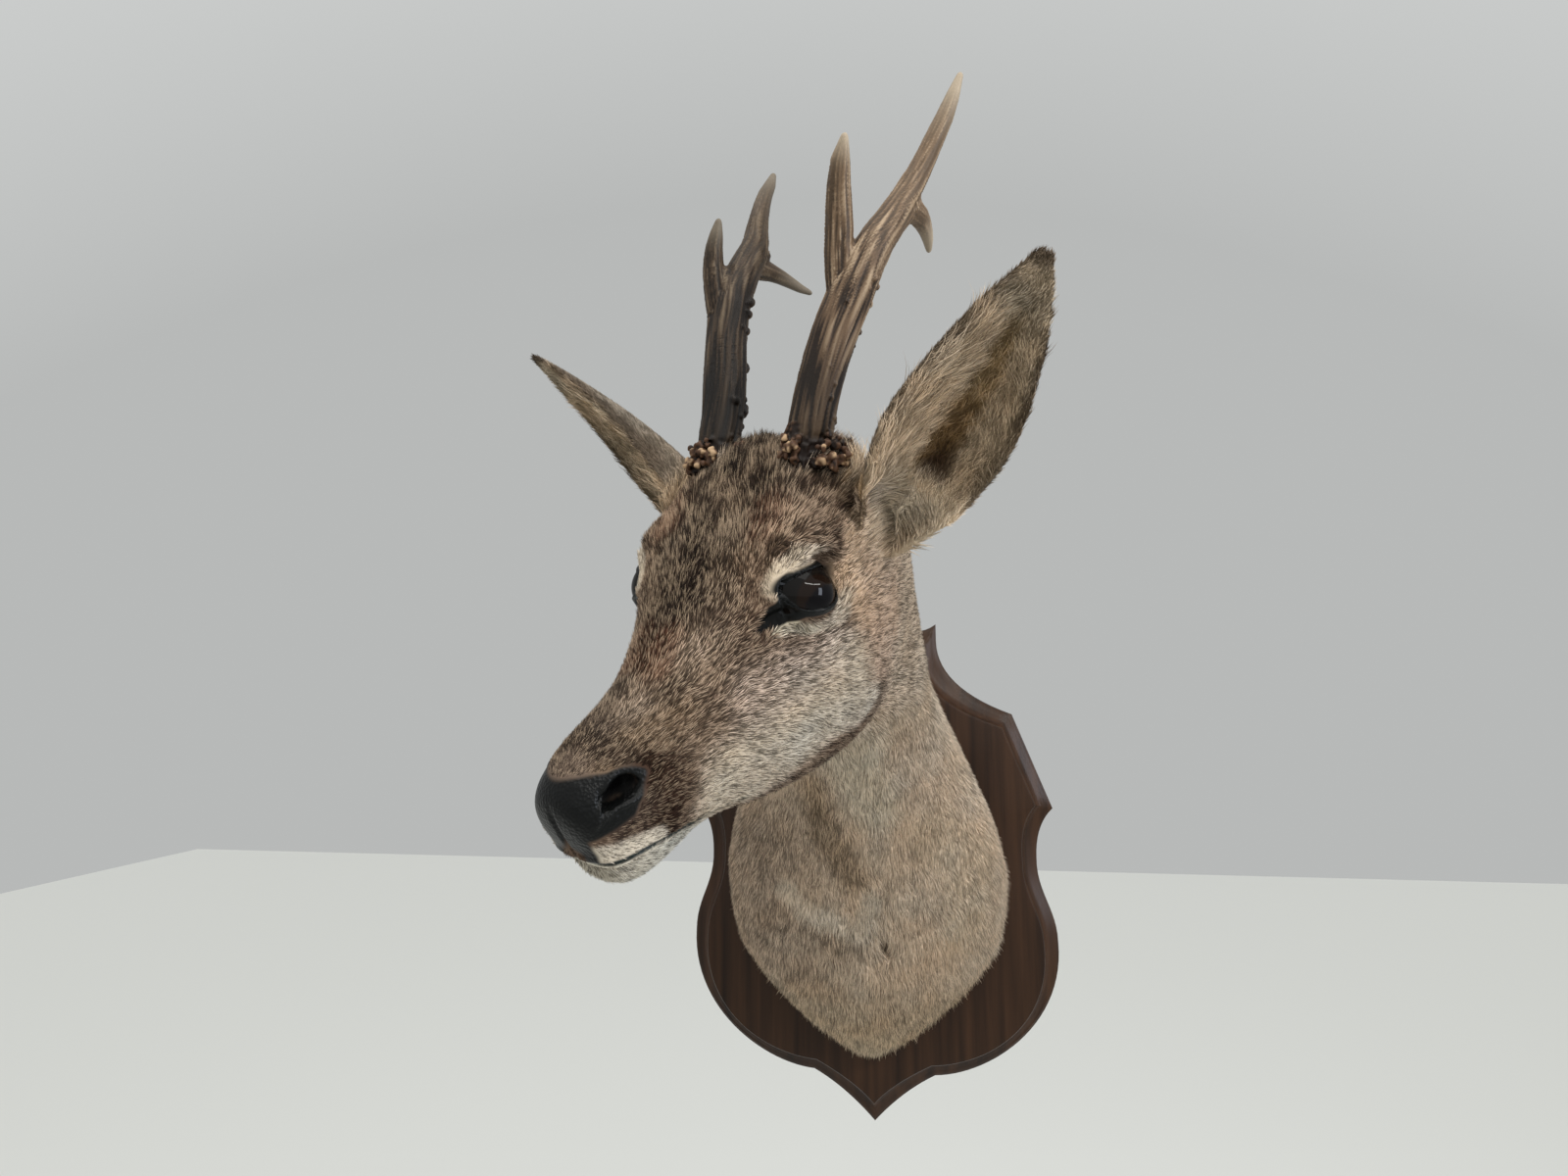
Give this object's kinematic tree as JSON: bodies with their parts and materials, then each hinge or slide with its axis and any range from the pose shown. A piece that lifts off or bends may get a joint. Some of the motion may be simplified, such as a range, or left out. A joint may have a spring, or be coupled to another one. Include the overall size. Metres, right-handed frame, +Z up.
{
  "type": "roe deer shoulder mount",
  "caption": "Roe buck head and neck in winter coat with branched antlers, turned to its right, mounted on a dark wooden shield board that hangs on a wall.",
  "frame": {"origin": "on the board's flat back, in the middle of its width and about half way up it", "axes": "+Z up along the board, +Y into the wall, so the animal looks out along -Y, its head turned to its own right (-X)"},
  "size_m": [0.2857, 0.3314, 0.5667],
  "materials": {
    "stained_wood": "dark stained and varnished, satin, vertical grain",
    "coat": "grey-brown brindled winter deer fur, short and lying flat",
    "pale_coat": "pale cream short fur of the chin and jaw",
    "nose_skin": "black pebbled nose skin, faint sheen",
    "eye_glass": "polished dark brown glass eye",
    "ear_coat": "brindled fur outside, long cream hair inside",
    "coronet": "rough beaded bone, reddish brown",
    "antler": "grooved bone, brown with pale worn ridges and tips"
  },
  "bodies": {
    "root": {"board": "stained_wood", "chest": "coat", "neck": "coat", "head": "coat", "muzzle": "coat", "lower_jaw": "pale_coat", "nose_pad": "nose_skin", "eye_left": "eye_glass", "eye_right": "eye_glass", "ear_left": "ear_coat", "ear_right": "ear_coat", "antler_left_coronet": "coronet", "antler_left_beam": "antler", "antler_left_upper_beam": "antler", "antler_left_top_tine": "antler", "antler_left_front_tine": "antler", "antler_left_rear_tine": "antler", "antler_right_coronet": "coronet", "antler_right_beam": "antler", "antler_right_upper_beam": "antler", "antler_right_top_tine": "antler", "antler_right_front_tine": "antler", "antler_right_rear_tine": "antler"}
  },
  "joints": []
}
